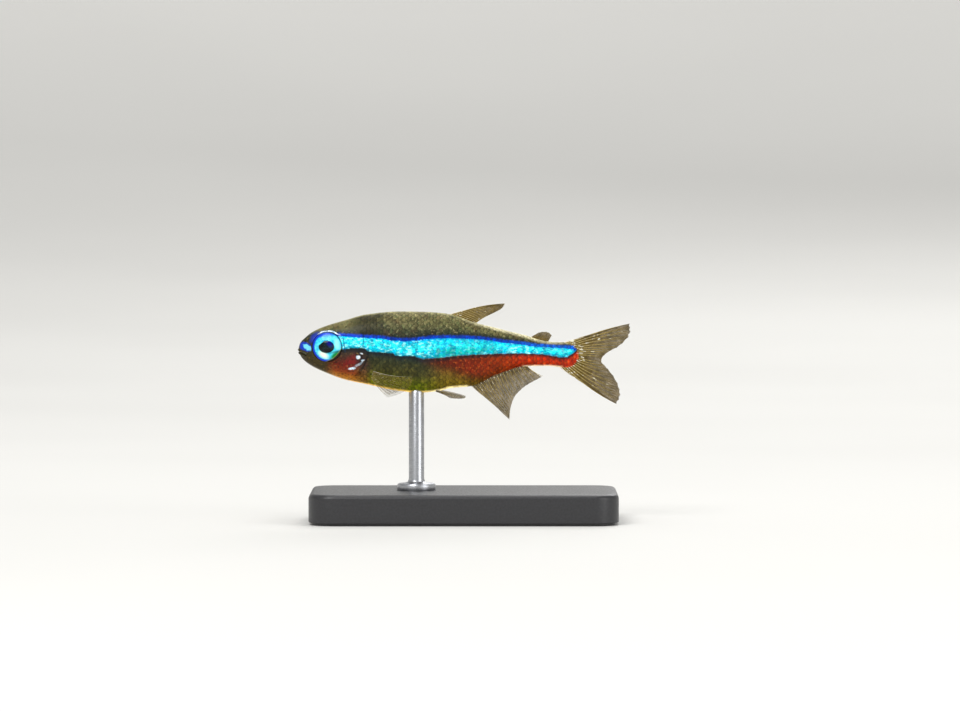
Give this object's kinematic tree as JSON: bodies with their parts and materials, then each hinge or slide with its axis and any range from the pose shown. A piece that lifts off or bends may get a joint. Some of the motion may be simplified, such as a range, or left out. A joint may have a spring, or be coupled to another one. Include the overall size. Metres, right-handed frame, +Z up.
{
  "type": "fish model",
  "caption": "Life-size model of a green neon tetra swimming level with folded fins, held over a flat rounded base by one slim rod.",
  "frame": {"origin": "middle of the underside of the stand's base, which is also the middle of the underside of the whole object's box", "axes": "-X is where the head points, -Y is the fish's left side, +Z is up"},
  "size_m": [0.026, 0.014, 0.017],
  "materials": {
    "skin": "wet satin, olive head",
    "belly": "wet satin, olive to yellow-green trunk with a blue-green stripe",
    "tail_red": "wet satin, red tail stalk",
    "eye": "wet gloss, cyan iris",
    "fin": "translucent olive membrane with paler rays",
    "base": "satin black",
    "rod": "satin steel"
  },
  "bodies": {
    "root": {"head": "skin", "trunk": "belly", "tail_stalk": "tail_red", "eye_left": "eye", "eye_right": "eye", "dorsal_fin": "fin", "adipose_fin": "fin", "anal_fin": "fin", "caudal_fin_upper": "fin", "caudal_fin_lower": "fin", "pectoral_fin_left": "fin", "pectoral_fin_right": "fin", "pelvic_fin_left": "fin", "pelvic_fin_right": "fin", "stand_base": "base", "stand_rod": "rod"}
  },
  "joints": []
}
